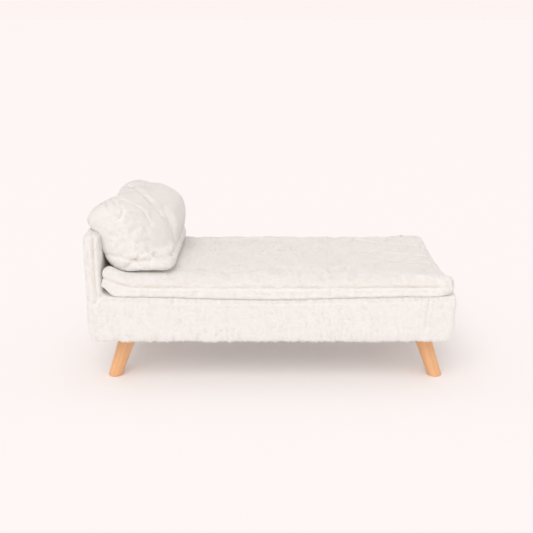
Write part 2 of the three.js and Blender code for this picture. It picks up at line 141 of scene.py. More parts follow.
def make_world():
    """An even pale sky. Where the camera sees it past the floor, it is the floor's own shade."""
    world = bpy.data.worlds.new("studio")
    world.use_nodes = True
    tree = world.node_tree
    sky = tree.nodes["Background"]
    sky.inputs["Color"].default_value = (*SKY_COLOUR, 1)
    sky.inputs["Strength"].default_value = SKY_STRENGTH
    seen = tree.nodes.new("ShaderNodeBackground")
    seen.inputs["Color"].default_value = (*BACKDROP_COLOUR, 1)
    path = tree.nodes.new("ShaderNodeLightPath")
    mix = tree.nodes.new("ShaderNodeMixShader")
    tree.links.new(path.outputs["Is Camera Ray"], mix.inputs["Fac"])
    tree.links.new(sky.outputs["Background"], mix.inputs[1])
    tree.links.new(seen.outputs["Background"], mix.inputs[2])
    tree.links.new(mix.outputs["Shader"], tree.nodes["World Output"].inputs["Surface"])
    bpy.context.scene.world = world


def make_floor():
    reach = FLOOR_REACH
    corners = [(-reach, -reach, 0), (reach, -reach, 0), (reach, reach, 0), (-reach, reach, 0)]
    floor = mesh_object("floor", corners, [(0, 1, 2, 3)])
    material, _, shader = principled("floor", FLOOR_COLOUR, roughness=0.95)
    shader.inputs["Specular IOR Level"].default_value = 0.1
    floor.data.materials.append(material)


def make_studio():
    bpy.context.scene.view_settings.view_transform = "Standard"
    bpy.context.scene.view_settings.gamma = PRINT_GAMMA
    make_world()
    make_key_light()
    make_floor()


# ---------- small mesh kit ----------

def mesh_object(name, points, faces):
    mesh = bpy.data.meshes.new(name)
    mesh.from_pydata([tuple(p) for p in points], [], faces)
    mesh.update()
    made = bpy.data.objects.new(name, mesh)
    bpy.context.scene.collection.objects.link(made)
    return made


def apply_modifiers(piece):
    depsgraph = bpy.context.evaluated_depsgraph_get()
    mesh = bpy.data.meshes.new_from_object(piece.evaluated_get(depsgraph))
    piece.modifiers.clear()
    piece.data = mesh
    mesh.name = piece.name


def points_of(piece):
    points = np.empty(len(piece.data.vertices) * 3)
    piece.data.vertices.foreach_get("co", points)
    return points.reshape(-1, 3)


def normals_of(piece):
    normals = np.empty(len(piece.data.vertices) * 3)
    piece.data.vertex_normals.foreach_get("vector", normals)
    return normals.reshape(-1, 3)


def move_points(piece, points):
    piece.data.vertices.foreach_set("co", np.asarray(points, dtype=float).ravel())
    piece.data.update()


def unit(vectors):
    return vectors / np.maximum(np.linalg.norm(vectors, axis=-1, keepdims=True), 1e-12)


def lattice_value(cell, seed):
    """A repeatable random number in -1..1 for each whole-numbered cell."""
    mixed = cell[:, 0] * 374761393 + cell[:, 1] * 668265263 + cell[:, 2] * 1274126177 + seed * 97003
    mixed = (mixed ^ (mixed >> 13)) * 1103515245 & 0xFFFFFFFF
    mixed = (mixed ^ (mixed >> 16)) & 0xFFFFFF
    return mixed / float(0x7FFFFF) - 1


def noise(points, size, seed):
    """Smooth noise in -1..1 with features about size metres across."""
    scaled = points / size
    cell = np.floor(scaled).astype(np.int64)
    part = scaled - cell
    part = part * part * (3 - 2 * part)
    total = np.zeros(len(points))
    for corner in product((0, 1), repeat=3):
        weight = np.prod(np.where(np.array(corner), part, 1 - part), axis=1)
        total += weight * lattice_value(cell + np.array(corner), seed)
    return total


def noise_vectors(points, size, seed):
    return np.stack([noise(points, size, seed + k) for k in range(3)], axis=1)


def bump(distance, width):
    """A smooth bell, 1 at distance 0."""
    return np.exp(-(distance / width) ** 2)


def soft_step(value, low, high):
    part = np.clip((value - low) / (high - low), 0, 1)
    return part * part * (3 - 2 * part)


def distance_to(points, line):
    """Distance from each point to a polyline."""
    line = np.asarray(line, dtype=float)
    best = np.full(len(points), np.inf)
    for start, end in zip(line[:-1], line[1:]):
        step = end - start
        length = np.linalg.norm(step)
        part = np.clip((points - start) @ step / length**2, 0, 1)
        distance = np.linalg.norm(points - (start + part[:, None] * step), axis=1)
        best = np.minimum(best, distance)
    return best


def box_solid(name, low, high):
    corners = [(x, y, z) for x in (low[0], high[0]) for y in (low[1], high[1]) for z in (low[2], high[2])]
    faces = [(0, 1, 3, 2), (4, 6, 7, 5), (0, 4, 5, 1), (2, 3, 7, 6), (0, 2, 6, 4), (1, 5, 7, 3)]
    return mesh_object(name, corners, faces)


def combine(piece, other, operation):
    change = piece.modifiers.new("combine", "BOOLEAN")
    change.operation = operation
    change.solver = "EXACT"
    change.object = other
    apply_modifiers(piece)
    bpy.data.objects.remove(other)


def remesh_and_smooth(piece, voxel, rounds):
    remesh = piece.modifiers.new("remesh", "REMESH")
    remesh.mode = "VOXEL"
    remesh.voxel_size = voxel
    smooth = piece.modifiers.new("smooth", "SMOOTH")
    smooth.factor = 0.5
    smooth.iterations = rounds
    apply_modifiers(piece)


def fit_to(piece, low, high):
    """Stretches a piece a little so that its box is exactly low to high."""
    points = points_of(piece)
    now_low, now_high = points.min(0), points.max(0)
    low, high = np.array(low), np.array(high)
    move_points(piece, low + (points - now_low) / (now_high - now_low) * (high - low))


def round_corners(points, low, high, axes, radius):
    """Rounds the corners of the box low to high where the two axes meet, by drawing points in to an arc."""
    pair = list(axes)
    low, high = np.array(low)[pair], np.array(high)[pair]
    flat = points[:, pair]
    inner = np.clip(flat, low + radius, high - radius)
    arm = flat - inner
    length = np.linalg.norm(arm, axis=1, keepdims=True)
    at_corner = (np.abs(arm) > 0).all(axis=1, keepdims=True) & (length > radius)
    rounded = points.copy()
    rounded[:, pair] = np.where(at_corner, inner + arm * radius / np.maximum(length, 1e-9), flat)
    return rounded


def subdivide(piece):
    smooth = piece.modifiers.new("subdivide", "SUBSURF")
    smooth.levels = 1
    smooth.render_levels = 1
    apply_modifiers(piece)


def shade_smooth(piece):
    piece.data.polygons.foreach_set("use_smooth", [True] * len(piece.data.polygons))


def smooth_curve(points, count, closed=False):
    """Points spaced along a smooth curve that passes through the given ones."""
    points = np.asarray(points, dtype=float)
    total = len(points)
    where = np.linspace(0, total if closed else total - 1, count, endpoint=not closed)
    index = np.minimum(where.astype(int), total - 1 if closed else total - 2)
    part = (where - index).reshape((-1,) + (1,) * (points.ndim - 1))
    picks = [index + k for k in (-1, 0, 1, 2)]
    picks = [p % total if closed else np.clip(p, 0, total - 1) for p in picks]
    a, b, c, d = (points[p] for p in picks)
    return b + part / 2 * (c - a + part * (2 * a - 5 * b + 4 * c - d + part * (3 * (b - c) + d - a)))


def ring_faces(around, along):
    """The faces of a closed solid made of rows of rings, with a flat cap at each end."""
    faces = []
    for row in range(along - 1):
        low, high = row * around, (row + 1) * around
        for start in range(around):
            after = (start + 1) % around
            faces.append((low + start, low + after, high + after, high + start))
    faces.append(tuple(reversed(range(around))))
    faces.append(tuple(range((along - 1) * around, along * around)))
    return faces


def loft(name, sections, around, along):
    """A closed solid through a row of closed sections, each a list of (x, y, z) points."""
    rings = np.array([smooth_curve(section, around, closed=True) for section in sections])
    rings = smooth_curve(rings, along)
    return mesh_object(name, rings.reshape(-1, 3), ring_faces(around, along))


def onto(piece, line, step=4 * MM):
    """A polyline laid on the piece: each of its points moved to the nearest one of the mesh."""
    points = points_of(piece)
    line = np.asarray(line, dtype=float)
    length = np.linalg.norm(np.diff(line, axis=0), axis=1).sum()
    fine = smooth_curve(line, max(int(length / step), 2))
    nearest = [np.argmin(np.linalg.norm(points - place, axis=1)) for place in fine]
    return points[list(dict.fromkeys(nearest))]


def inflate(piece, slack, pins, cap):
    """Swells the piece as cloth by no more than cap, with the pinned points held, and applies the result."""
    before = points_of(piece)
    group = piece.vertex_groups.new(name="pins")
    for index in np.nonzero(pins > 0.01)[0]:
        group.add([int(index)], float(pins[index]), "REPLACE")
    cloth = piece.modifiers.new("cloth", "CLOTH")
    settings = cloth.settings
    settings.quality = 6
    settings.mass = 0.2
    settings.tension_stiffness = 12
    settings.compression_stiffness = 12
    settings.bending_stiffness = 6
    settings.use_pressure = True
    settings.uniform_pressure_force = SWELL_PRESSURE
    settings.shrink_min = -slack
    settings.effector_weights.gravity = 0
    settings.vertex_group_mass = "pins"
    cloth.point_cache.frame_start = 1
    cloth.point_cache.frame_end = SWELL_FRAMES
    for step in range(1, SWELL_FRAMES + 1):
        bpy.context.scene.frame_set(step)
    apply_modifiers(piece)
    bpy.context.scene.frame_set(1)
    piece.vertex_groups.clear()
    move = points_of(piece) - before
    length = np.linalg.norm(move, axis=1, keepdims=True)
    move_points(piece, before + move * np.minimum(1, cap / np.maximum(length, 1e-9)))


# ---------- materials ----------

def principled(name, colour, roughness, metallic=0.0):
    material = bpy.data.materials.new(name)
    material.use_nodes = True
    shader = material.node_tree.nodes["Principled BSDF"]
    shader.inputs["Base Color"].default_value = (*colour, 1)
    shader.inputs["Roughness"].default_value = roughness
    shader.inputs["Metallic"].default_value = metallic
    return material, material.node_tree, shader


def mix_colours(tree, factor, first, second):
    ramp = tree.nodes.new("ShaderNodeValToRGB")
    ramp.color_ramp.elements[0].color = (*first, 1)
    ramp.color_ramp.elements[1].color = (*second, 1)
    tree.links.new(factor, ramp.inputs["Fac"])
    return ramp


def add_noise(tree, vector, scale, detail):
    texture = tree.nodes.new("ShaderNodeTexNoise")
    texture.inputs["Scale"].default_value = scale
    texture.inputs["Detail"].default_value = detail
    tree.links.new(vector, texture.inputs["Vector"])
    return texture


def add_bump(tree, shader, height, strength, distance):
    node = tree.nodes.new("ShaderNodeBump")
    node.inputs["Strength"].default_value = strength
    node.inputs["Distance"].default_value = distance
    tree.links.new(height, node.inputs["Height"])
    tree.links.new(node.outputs["Normal"], shader.inputs["Normal"])


def object_coordinates(tree):
    return tree.nodes.new("ShaderNodeTexCoord").outputs["Object"]


def blended(tree, kind, amount, first, second):
    """Two colours mixed; amount is a number or a socket."""
    mix = tree.nodes.new("ShaderNodeMix")
    mix.data_type = "RGBA"
    mix.blend_type = kind
    factor, a, b = mix.inputs[0], mix.inputs[6], mix.inputs[7]
    for socket, value in ((factor, amount), (a, first), (b, second)):
        if isinstance(value, (float, tuple)):
            socket.default_value = value
        else:
            tree.links.new(value, socket)
    return mix.outputs[2]


def fur_backing_material():
    """Short dense underfur between the longer strands, with painted shade laid into tight seams and folds."""
    material, tree, shader = principled("fur_backing", BACKING_COLOUR, roughness=0.95)
    shader.inputs["Specular IOR Level"].default_value = 0.15
    shader.inputs["Sheen Weight"].default_value = 0.5
    shader.inputs["Sheen Roughness"].default_value = 0.6
    place = object_coordinates(tree)
    clumps = add_noise(tree, place, scale=160, detail=4)
    darker = tuple(0.93 * c for c in BACKING_COLOUR)
    ramp = mix_colours(tree, clumps.outputs["Fac"], darker, BACKING_COLOUR)
    ramp.color_ramp.elements[0].position = 0.3
    ramp.color_ramp.elements[1].position = 0.62
    # Painted shade: the crease mark darkens the colour towards a warm shadow tone in seams and folds.
    crease = tree.nodes.new("ShaderNodeAttribute")
    crease.attribute_name = "crease"
    depth = mix_colours(tree, crease.outputs["Fac"], (0, 0, 0), (1, 1, 1))
    depth.color_ramp.elements[0].position = 0.45
    shade = blended(tree, "MIX", depth.outputs["Color"], ramp.outputs["Color"], (*CREASE_SHADE_COLOUR, 1))
    tree.links.new(shade, shader.inputs["Base Color"])
    fine = add_noise(tree, place, scale=700, detail=3)
    add_bump(tree, shader, fine.outputs["Fac"], strength=0.5, distance=1.2 * MM)
    return material


def strand_materials():
    """One plain soft finish for each tone of strand."""
    made = []
    for index, tone in enumerate(FUR_TONES):
        material, _, shader = principled(f"fur_strand_{index + 1}", tone, roughness=0.75)
        shader.inputs["Specular IOR Level"].default_value = 0.2
        shader.inputs["Sheen Weight"].default_value = 0.4
        shader.inputs["Sheen Roughness"].default_value = 0.5
        made.append(material)
    return made


def stretched(tree, vector, scale, shift):
    """The given coordinates, drawn out along the part's length."""
    mapping = tree.nodes.new("ShaderNodeMapping")
    mapping.inputs["Scale"].default_value = scale
    mapping.inputs["Location"].default_value = (shift, shift, 0)
    tree.links.new(vector, mapping.inputs["Vector"])
    return mapping.outputs["Vector"]


def wood_material(name, light, dark, fleck, roughness, place, shift):
    """Wood along Z: soft growth bands, fine fibres and short darker flecks."""
    material, tree, shader = principled(name, light, roughness)
    shader.inputs["Specular IOR Level"].default_value = 0.4
    vector = place(tree)
    bands = tree.nodes.new("ShaderNodeTexWave")
    bands.inputs["Scale"].default_value = 24
    bands.inputs["Distortion"].default_value = 9
    bands.inputs["Detail"].default_value = 3
    tree.links.new(stretched(tree, vector, (1, 1, 0.08), shift), bands.inputs["Vector"])
    tones = mix_colours(tree, bands.outputs["Fac"], dark, light)
    fibres = add_noise(tree, stretched(tree, vector, (1, 1, 0.035), shift), scale=900, detail=4)
    fibre_tones = mix_colours(tree, fibres.outputs["Fac"], (0.82, 0.78, 0.74), (1.0, 1.0, 1.0))
    colour = blended(tree, "MULTIPLY", 0.8, tones.outputs["Color"], fibre_tones.outputs["Color"])
    rays = add_noise(tree, stretched(tree, vector, (1, 1, 0.14), shift), scale=640, detail=1)
    spots = mix_colours(tree, rays.outputs["Fac"], (0, 0, 0), (1, 1, 1))
    spots.color_ramp.elements[0].position = 0.63
    spots.color_ramp.elements[1].position = 0.74
    colour = blended(tree, "MIX", spots.outputs["Color"], colour, (*fleck, 1))
    tree.links.new(colour, shader.inputs["Base Color"])
    add_bump(tree, shader, fibres.outputs["Fac"], strength=0.12, distance=0.3 * MM)
    return material


def grain_place(tree):
    """Each leg's own coordinates before it was splayed, so that the grain follows the leg."""
    place = tree.nodes.new("ShaderNodeAttribute")
    place.attribute_name = "grain_place"
    return place.outputs["Vector"]


def along_x(tree):
    """Object coordinates turned so that the grain runs the length of the bed."""
    turn = tree.nodes.new("ShaderNodeMapping")
    turn.inputs["Rotation"].default_value = (0, math.pi / 2, 0)
    tree.links.new(object_coordinates(tree), turn.inputs["Vector"])
    return turn.outputs["Vector"]


def beech(name, shift):
    """The legs' oiled beech, each leg from its own piece of grain."""
    return wood_material(f"beech_{name}", *BEECH_TONES, roughness=0.42, place=grain_place, shift=shift)


# ---------- seams and relief ----------

def settled(points):
    """How far the front edges sink where the mattress weighs on the base, most near the middle."""
    at_front = 1 - soft_step(points[:, 1], COVER_LOW.y + 4 * MM, COVER_LOW.y + 34 * MM)
    return FRONT_SINK * at_front * bump(points[:, 0] + 0.02, 0.22)


def grooves(points, lines):
    """How far each point is drawn in by sewn or folded lines, given as (line, width, depth)."""
    total = np.zeros(len(points))
    pucker = 1 + 0.4 * noise(points, 9 * MM, 6)
    for line, width, depth in lines:
        total += depth * bump(distance_to(points, line), width) * pucker
    return total


def creases(points, lines):
    """How near each point is to the bottom of a tight seam or fold, 0 to 1."""
    mark = np.zeros(len(points))
    for line, width, depth in lines:
        if width < TIGHT_WIDTH:
            mark = np.maximum(mark, bump(distance_to(points, line), width) * min(depth / TIGHT_DEPTH, 1))
    return mark


def mark_creases(piece, mark):
    """Stores the creases on the piece, for the painted shade in its colour and for the length of its pile."""
    patchy = 0.85 + 0.3 * noise(points_of(piece), 22 * MM, 9)
    attribute = piece.data.attributes.new("crease", "FLOAT", "POINT")
    attribute.data.foreach_set("value", np.clip(mark * patchy, 0, 1).astype(np.float32))


def fur_relief(points, seed, deep):
    """The lie of the plush: soft swells, and short curved partings where the pile divides."""
    swell = 0.5 * noise(points, 32 * MM, seed) + 0.2 * noise(points, 13 * MM, seed + 1)
    parting = bump(noise(points, 26 * MM, seed + 2), 0.09)
    parting *= soft_step(noise(points, 45 * MM, seed + 3), 0.0, 0.4)
    dimple = bump(noise(points, 12 * MM, seed + 4), 0.12)
    dimple *= soft_step(noise(points, 34 * MM, seed + 5), 0.05, 0.5)
    return deep * MM * (swell - 1.3 * parting - 0.7 * dimple)


def finish_fur(piece, body):
    piece.data.materials.clear()
    piece.data.materials.append(FUR_BACKING)
    shade_smooth(piece)
    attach(piece, body)


# ---------- pile ----------

def triangles_of(piece):
    piece.data.calc_loop_triangles()
    corners = np.empty(len(piece.data.loop_triangles) * 3, dtype=np.int32)
    piece.data.loop_triangles.foreach_get("vertices", corners)
    return corners.reshape(-1, 3)


def scatter(piece, keep, random):
    """Random places on the piece where keep(points, normals) allows them, with normals and creases."""
    points, normals = points_of(piece), normals_of(piece)
    crease = np.empty(len(points), dtype=np.float32)
    piece.data.attributes["crease"].data.foreach_get("value", crease)
    triangles = triangles_of(piece)
    a, b, c = (points[triangles[:, k]] for k in range(3))
    area = np.linalg.norm(np.cross(b - a, c - a), axis=1) / 2
    count = int(area.sum() * STRANDS_PER_M2)
    chosen = random.choice(len(triangles), count, p=area / area.sum())
    u, v = random.random(count), random.random(count)
    over = u + v > 1
    u, v = np.where(over, 1 - u, u), np.where(over, 1 - v, v)
    weights = np.stack([1 - u - v, u, v], axis=1)[:, :, None]
    corners = triangles[chosen]
    places = (points[corners] * weights).sum(1)
    facing = unit((normals[corners] * weights).sum(1))
    marks = (crease[corners] * weights[:, :, 0]).sum(1)
    kept = keep(places, facing)
    return places[kept], facing[kept], marks[kept]


def tufts(points, seed):
    """Irregular tufts: the whole-numbered cell of each point, and the way to its middle in tuft widths."""
    place = points / TUFT + 0.5 * noise_vectors(points, 1.7 * TUFT, seed)
    cell = np.floor(place).astype(np.int64)
    return cell, cell + 0.5 - place


def across(vectors, normals):
    """The part of each vector that lies in the surface."""
    return vectors - normals * (vectors * normals).sum(1, keepdims=True)


def strand_mesh(name, vertices):
    """A mesh with one triangle for every three vertices."""
    count = len(vertices) // 3
    mesh = bpy.data.meshes.new(name)
    mesh.vertices.add(count * 3)
    mesh.vertices.foreach_set("co", vertices.ravel())
    mesh.loops.add(count * 3)
    mesh.loops.foreach_set("vertex_index", np.arange(count * 3, dtype=np.int32))
    mesh.polygons.add(count)
    mesh.polygons.foreach_set("loop_start", np.arange(0, count * 3, 3, dtype=np.int32))
    mesh.update()
    mesh.polygons.foreach_set("use_smooth", [True] * count)
    return mesh


def grow_pile(name, piece, body, keep, brush, shag, seed):
    """A piece of short tapered strands standing on another piece, brushed, and drawn into tufts by shag."""
    random = np.random.default_rng(seed)
    roots, normals, crease = scatter(piece, keep, random)
    count = len(roots)
    cell, inward = tufts(roots, seed)
    inward = across(inward, normals)
    turned = np.stack([lattice_value(cell, seed + k) for k in range(3)], axis=1)

    # Each strand lies along the brushing, swung by slow waves and drawn to the middle of its tuft.
    flow = np.array(brush) + 0.6 * noise_vectors(roots, 45 * MM, seed)
    flow = flow + shag * (0.5 * turned + 1.3 * inward)
    flow = unit(across(flow + 0.2 * random.normal(size=(count, 3)), normals))
    lift = 0.19 + 0.12 * shag * lattice_value(cell, seed + 9) + 0.06 * random.normal(size=count)
    lift = np.clip(lift, 0.06, 0.45)[:, None]
    direction = unit(flow + normals * lift)
    reach = (STRAND_LENGTH * random.uniform(0.7, 1.1, count) * (1 - 0.7 * crease))[:, None]
    side = np.cross(normals, flow) * (STRAND_WIDTH / 2) * random.uniform(0.7, 1.2, count)[:, None]
    roots = roots - normals * ROOT_DEPTH
    vertices = np.stack([roots + side, roots - side, roots + direction * reach], axis=1).reshape(-1, 3)
    mesh = strand_mesh(name, vertices)

    for material in STRAND_MATERIALS:
        mesh.materials.append(material)
    # Tones vary from tuft to tuft and from strand to strand.
    tone = 1.5 + 0.6 * shag * lattice_value(cell, seed + 13) + random.normal(size=count) * 0.5
    tone = np.clip(tone, 0, len(STRAND_MATERIALS) - 0.01)
    mesh.polygons.foreach_set("material_index", tone.astype(np.int32))
    # Strands are shaded as the surface beneath is, tipped a little by the tuft's roundness.
    shown = unit(normals - 0.35 * shag * inward)
    mesh.normals_split_custom_set_from_vertices(np.repeat(shown, 3, axis=0))
    pile = bpy.data.objects.new(name, mesh)
    bpy.context.scene.collection.objects.link(pile)
    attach(pile, body)
    return pile


# ---------- base and headboard ----------

SCALLOP_HEIGHTS = (176, 212, 258, 318)  # millimetres above the floor
SCALLOP_DEPTH = 1.5 * MM
END_SWELL = 2.5 * MM  # fullness of the far end below the deck
PLAN_CORNER = 16 * MM  # of the base and of the headboard, seen from above
END_CORNER = 30 * MM  # where the base's ends meet its underside
HEAD_TOP_CORNER = 12 * MM  # along the headboard's top edges
HEAD_UPPER_CORNER = 18 * MM  # the headboard's upper corners, seen from its face


def base_form():
    """The base and headboard as one bare block, open underneath, with its corners rounded."""
    low = (COVER_LOW.x - 2 * MM, COVER_LOW.y + PILE, COVER_LOW.z - 1 * MM)
    high = (COVER_HIGH.x, COVER_HIGH.y - PILE, DECK_Z - 0.5 * MM)
    head_high = (HEADBOARD_FACE - 1.2 * MM, high[1], COVER_HIGH.z - PILE)
    base = box_solid("base_upholstery", low, high)
    combine(base, box_solid("head_block", low, head_high), "UNION")
    under = (HEM_HIGH.x, HEM_HIGH.y, HEM_HIGH.z + 4 * MM)
    combine(base, box_solid("recess", (HEM_LOW.x, HEM_LOW.y, low[2] - 20 * MM), under), "DIFFERENCE")
    remesh_and_smooth(base, BASE_VOXEL, 2)
    whole_high = (high[0], high[1], head_high[2])
    fit_to(base, low, whole_high)
    points = points_of(base)
    points = round_corners(points, low, whole_high, (0, 1), PLAN_CORNER)
    points = round_corners(points, low, (high[0], high[1], 1), (0, 2), END_CORNER)
    rounded = round_corners(points, low, head_high, (0, 2), HEAD_TOP_CORNER)
    rounded = round_corners(rounded, low, head_high, (1, 2), HEAD_UPPER_CORNER)
    rounded = round_corners(rounded, low, head_high, (0, 1), PLAN_CORNER)
    on_head = points[:, 0] < head_high[0] + 1 * MM
    on_head = on_head * soft_step(points[:, 2], DECK_Z + 2 * MM, DECK_Z + 40 * MM)
    points += (rounded - points) * on_head[:, None]
    move_points(base, points)
    subdivide(base)
    return base


def make_base():
    base = base_form()
    points, normals = points_of(base), normals_of(base)
    right_of_head = points[:, 0] > HEADBOARD_FACE
    at_far_end = points[:, 0] > COVER_HIGH.x - 12 * MM
    deck = soft_step(normals[:, 2], 0.5, 0.8) * right_of_head * (points[:, 2] < DECK_Z + 8 * MM)
    outward = fur_relief(points, 1, deep=0.6)
    outward += 1.1 * MM * noise(points, 80 * MM, 3)
    outward -= SCALLOP_DEPTH * scallops(points)
    outward += END_SWELL * at_far_end * bump(points[:, 2] - DECK_Z + 20 * MM, 14 * MM)
    outward *= 1 - 0.9 * deck
    hem = 1 - soft_step(points[:, 2], COVER_LOW.z + 2 * MM, COVER_LOW.z + 22 * MM)
    outward += hem * 1.5 * MM * noise(points * (1, 1, 0.3), 11 * MM, 4)
    seams = [(onto(base, line), width, depth) for line, width, depth in base_seams()]
    outward -= grooves(points, seams)
    # Tight seams get painted shade in the fur's colour, and shorter pile.
    mark_creases(base, creases(points, seams))
    upper = soft_step(points[:, 2], DECK_Z - 28 * MM, DECK_Z - 4 * MM) * right_of_head
    points = points + normals * outward[:, None]
    points[:, 2] -= settled(points) * upper
    move_points(base, points)
    finish_fur(base, "base")
    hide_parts("base_cover", "deck_foam", "front_foam", "rear_foam", "right_foam")
    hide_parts("headboard_foam_inner", "headboard_foam_outer", "headboard_foam_top")
    return base


def scallops(points):
    """The cover is pulled in at intervals up the outside of the headboard."""
    outside = 1 - soft_step(points[:, 0], COVER_LOW.x + PILE, COVER_LOW.x + 24 * MM)
    wander = 7 * MM * noise(points * (0, 1, 0), 60 * MM, 8)
    pulls = sum(bump(points[:, 2] + wander - height * MM, 6 * MM) for height in SCALLOP_HEIGHTS)
    return outside * pulls * (0.6 + 0.5 * noise(points, 50 * MM, 10))


def base_seams():
    """Seams of the base cover as (line, width, depth)."""
    front, rear = COVER_LOW.y + PILE, COVER_HIGH.y - PILE
    right = COVER_HIGH.x - PILE
    edge = DECK_Z - 10 * MM
    head = HEADBOARD_FACE - 2 * MM
    strip = head - 10 * MM
    top = COVER_HIGH.z - PILE
    deck_front = [(x, front, edge) for x in (head + 8 * MM, 0, right - 12 * MM)]
    deck_end = [(right, y, edge) for y in (front + 12 * MM, 0, rear - 12 * MM)]
    deck_rear = [(x, rear, z) for x, _, z in deck_front]
    down = [(63, 0), (66, 30), (66, 70)]
    down = [(right - aside * MM, front, edge - below * MM) for aside, below in down]
    strip_front = [(strip, front, z) for z in (top - 6 * MM, top - 70 * MM, DECK_Z - 4 * MM)]
    strip_rear = [(x, rear, z) for x, _, z in strip_front]
    fold_front = [(head, front + 2 * MM, DECK_Z), (head - 16 * MM, front, DECK_Z - 18 * MM)]
    fold_rear = [(x, -y, z) for x, y, z in fold_front]
    return [
        (deck_front, 4 * MM, 0.8 * MM),
        (deck_end, 4 * MM, 2.2 * MM),
        (deck_rear, 4 * MM, 1.4 * MM),
        (down, 3.5 * MM, 3.2 * MM),
        (strip_front, 4 * MM, 4.6 * MM),
        (strip_rear, 4 * MM, 4.6 * MM),
        (fold_front, 4.5 * MM, 4.0 * MM),
        (fold_rear, 4.5 * MM, 4.0 * MM),
    ]


def base_pile(base):
    def keep(places, normals):
        under_mattress = (
            (places[:, 0] > HEADBOARD_FACE + 4 * MM)
            & (places[:, 0] < MATTRESS_HIGH.x - 16 * MM)
            & (np.abs(places[:, 1]) < MATTRESS_HIGH.y - 16 * MM)
            & (places[:, 2] > DECK_Z - 12 * MM)
            & (places[:, 2] < DECK_Z + 6 * MM)
        )
        underside = (
            (normals[:, 2] < -0.6)
            & (np.abs(places[:, 0]) < HEM_HIGH.x + 4 * MM)
            & (np.abs(places[:, 1]) < HEM_HIGH.y + 4 * MM)
        )
        return ~(under_mattress | underside)

    return grow_pile("base_pile", base, "base", keep, brush=(0.25, 0.0, -0.9), shag=0.65, seed=11)


# ---------- mattress ----------

HEAD_END_CORNER = 9 * MM
FAR_END_CORNER = 25 * MM
MATTRESS_SEAM_DEPTH = 5 * MM
EDGE_ROLL = 7 * MM  # how far the top curves down at the edge
ROLL_WIDTH = 34 * MM
REAR_SAG = 4 * MM
END_WAIST = 8 * MM  # how far the far end is drawn in behind its front corner


def make_mattress():
    low = (HEADBOARD_FACE, MATTRESS_LOW.y + PILE, MATTRESS_BOTTOM + REST_GAP)
    high = (MATTRESS_HIGH.x + 4 * MM, MATTRESS_HIGH.y - 3 * MM, MATTRESS_TOP - 5 * MM)
    zip_low, zip_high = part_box("mattress_zip_tape")
    seam_z = (zip_low.z + zip_high.z) / 2
    mattress = mattress_form(low, high, seam_z)

    points, normals = points_of(mattress), normals_of(mattress)
    far_end = soft_step(points[:, 0], high[0] - 45 * MM, high[0] - 10 * MM)
    side = mattress_side(points, 12 * MM)
    front = 1 - soft_step(points[:, 1], MATTRESS_HIGH.y - 20 * MM, MATTRESS_HIGH.y - 8 * MM)
    seam = front * side * bump(points[:, 2] - seam_z, 4 * MM) * (1 - 0.7 * far_end)
    # The middle seam gets painted shade in the fur's colour, and shorter pile.
    mark_creases(mattress, seam)

    above = soft_step(points[:, 2], MATTRESS_BOTTOM + 2 * MM, MATTRESS_BOTTOM + 10 * MM)
    outward = fur_relief(points, 21, deep=0.34) + 1.2 * MM * noise(points, 80 * MM, 28)
    outward = (outward - mattress_dents(points)) * (0.3 + 0.7 * front) * above
    puckers = 1 + 0.4 * noise(points, 10 * MM, 23)
    outward -= seam * puckers * MATTRESS_SEAM_DEPTH
    outward += lower_border_bulge(points, low, side, far_end)
    points = settle_mattress(points + normals * outward[:, None], low, seam_z, far_end)
    move_points(mattress, points)
    finish_fur(mattress, "mattress")
    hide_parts("mattress_cover_bottom", "mattress_border", "mattress_cover_top", "mattress_core")
    return mattress


def mattress_form(low, high, seam_z):
    """The bare mattress from low to high, swelled between its bottom edge, middle seam and rear border."""
    mattress = box_solid("mattress_cover", low, high)
    remesh_and_smooth(mattress, MATTRESS_VOXEL, 3)
    fit_to(mattress, low, high)
    move_points(mattress, mattress_plan(points_of(mattress), low, high))
    points = points_of(mattress)
    pins = mattress_side(points, 8 * MM) * bump(points[:, 2] - seam_z, 3 * MM)
    resting = soft_step(-points[:, 2], -MATTRESS_BOTTOM - 3 * MM, -MATTRESS_BOTTOM)
    rear = soft_step(points[:, 1], high[1] - 5 * MM, high[1] - 2 * MM)
    inflate(mattress, slack=0.012, pins=np.maximum(np.maximum(pins, resting), rear), cap=6 * MM)
    subdivide(mattress)
    return mattress


def lower_border_bulge(points, low, side, far_end):
    """The lower half of the border stands out over the base, but draws in below its far end."""
    near_bottom = 1 - soft_step(points[:, 2], MATTRESS_BOTTOM, MATTRESS_BOTTOM + 12 * MM)
    under_far_end = 1 - soft_step(points[:, 2], MATTRESS_BOTTOM, MATTRESS_BOTTOM + 14 * MM)
    bulge = 5 * MM * side * (1 - far_end) * near_bottom
    bulge += 6 * MM * side * far_end * bump(points[:, 1] - low[1], 45 * MM)
    return bulge - 6 * MM * side * far_end * under_far_end


def settle_mattress(points, low, seam_z, far_end):
    """Moves the points as the mattress's weight does: rolled edges, a sag and the curl at the headboard."""
    rolled = (1 - np.clip(inside_edge(points) / ROLL_WIDTH, 0, 1)) ** 2
    rolled *= soft_step(points[:, 0], low[0] + 20 * MM, low[0] + 70 * MM) * (1 - 0.8 * far_end)
    rolled *= 1 - 0.7 * soft_step(points[:, 1], 0.12, 0.17)
    points[:, 2] -= EDGE_ROLL * rolled * soft_step(points[:, 2], seam_z + 4 * MM, seam_z + 14 * MM)
    waist = soft_step(points[:, 1], low[1] + 40 * MM, low[1] + 90 * MM)
    points[:, 0] -= END_WAIST * far_end * waist
    sag = soft_step(points[:, 1], 0.04, 0.19) * (1 - soft_step(points[:, 0], 0.29, 0.36))
    points[:, 2] -= REAR_SAG * sag * soft_step(points[:, 2], seam_z + 4 * MM, seam_z + 14 * MM)
    points[:, 2] += headboard_curl(points)
    points[:, 2] = np.maximum(points[:, 2], MATTRESS_BOTTOM)
    lower_part = 1 - soft_step(points[:, 2], MATTRESS_BOTTOM + 3 * MM, seam_z + 4 * MM)
    points[:, 2] -= settled(points) * lower_part
    return points


